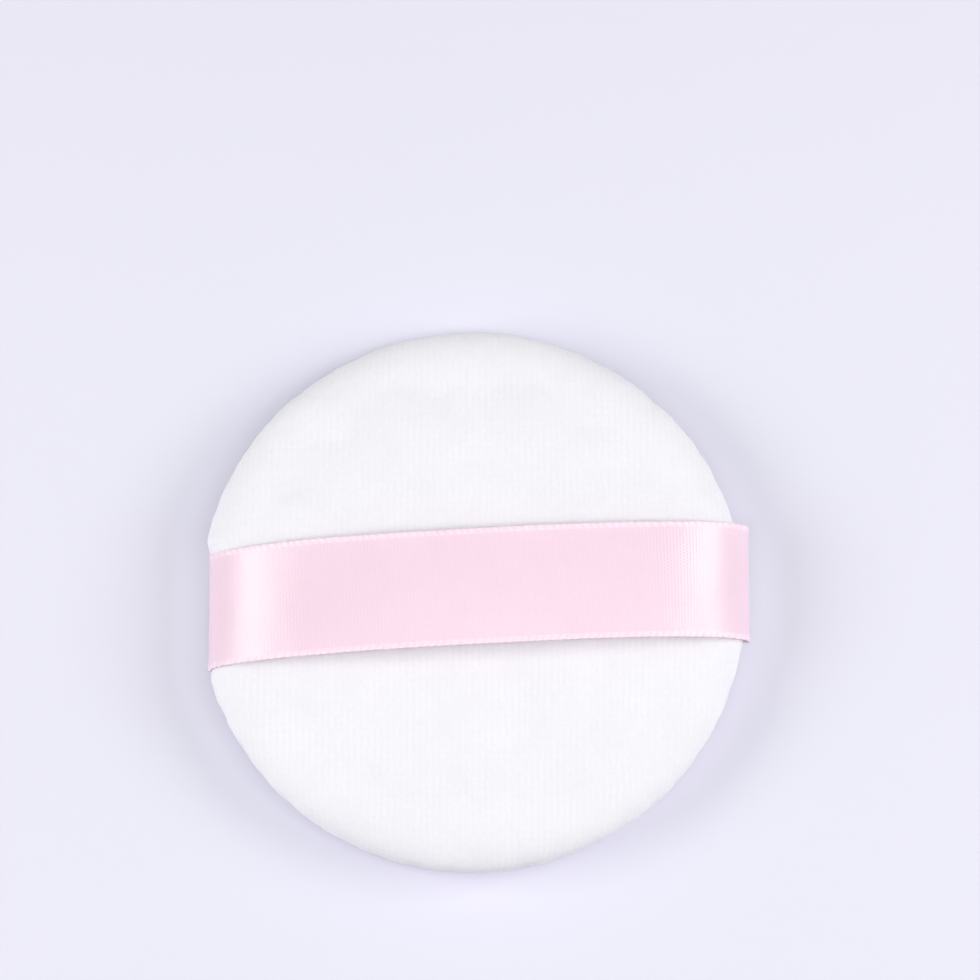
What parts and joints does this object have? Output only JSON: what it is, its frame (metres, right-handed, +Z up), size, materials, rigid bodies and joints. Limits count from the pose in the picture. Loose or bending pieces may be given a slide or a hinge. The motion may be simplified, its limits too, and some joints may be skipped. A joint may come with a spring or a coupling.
{
  "type": "powder puff",
  "caption": "Round velour powder puff with a sponge core, sewn round its edge, and a satin ribbon strap across its back for the fingers.",
  "frame": {"origin": "middle of the flat powder face that the puff lies on", "axes": "+Z up through the puff from its powder face to its ribbon, +X along the ribbon, +Y across the ribbon"},
  "size_m": [0.0814, 0.08, 0.0181],
  "materials": {
    "velour": "white cut-pile velour with fine ribs, matt",
    "sponge": "open-cell sponge, matt, cream white",
    "satin": "pale pink polyester satin, soft sheen",
    "thread": "white polyester sewing thread"
  },
  "bodies": {
    "puff": {"face_cover": "velour", "foam_core": "sponge", "needle_thread": "thread", "bobbin_thread": "thread", "closing_thread": "thread"},
    "back": {"back_cover": "velour"},
    "strap": {"ribbon_strap": "satin"}
  },
  "joints": [
    {"name": "puff_squeeze", "type": "slide", "parent": "puff", "child": "back", "axis": [0, 0, -1], "range_m": [0, 0.004], "stiffness_N_per_m": 300, "deforming": ["back_cover", "foam_core"]},
    {"name": "strap_lift", "type": "slide", "parent": "puff", "child": "strap", "axis": [0, 0, 1], "range_m": [0, 0.008], "deforming": ["ribbon_strap"]}
  ]
}
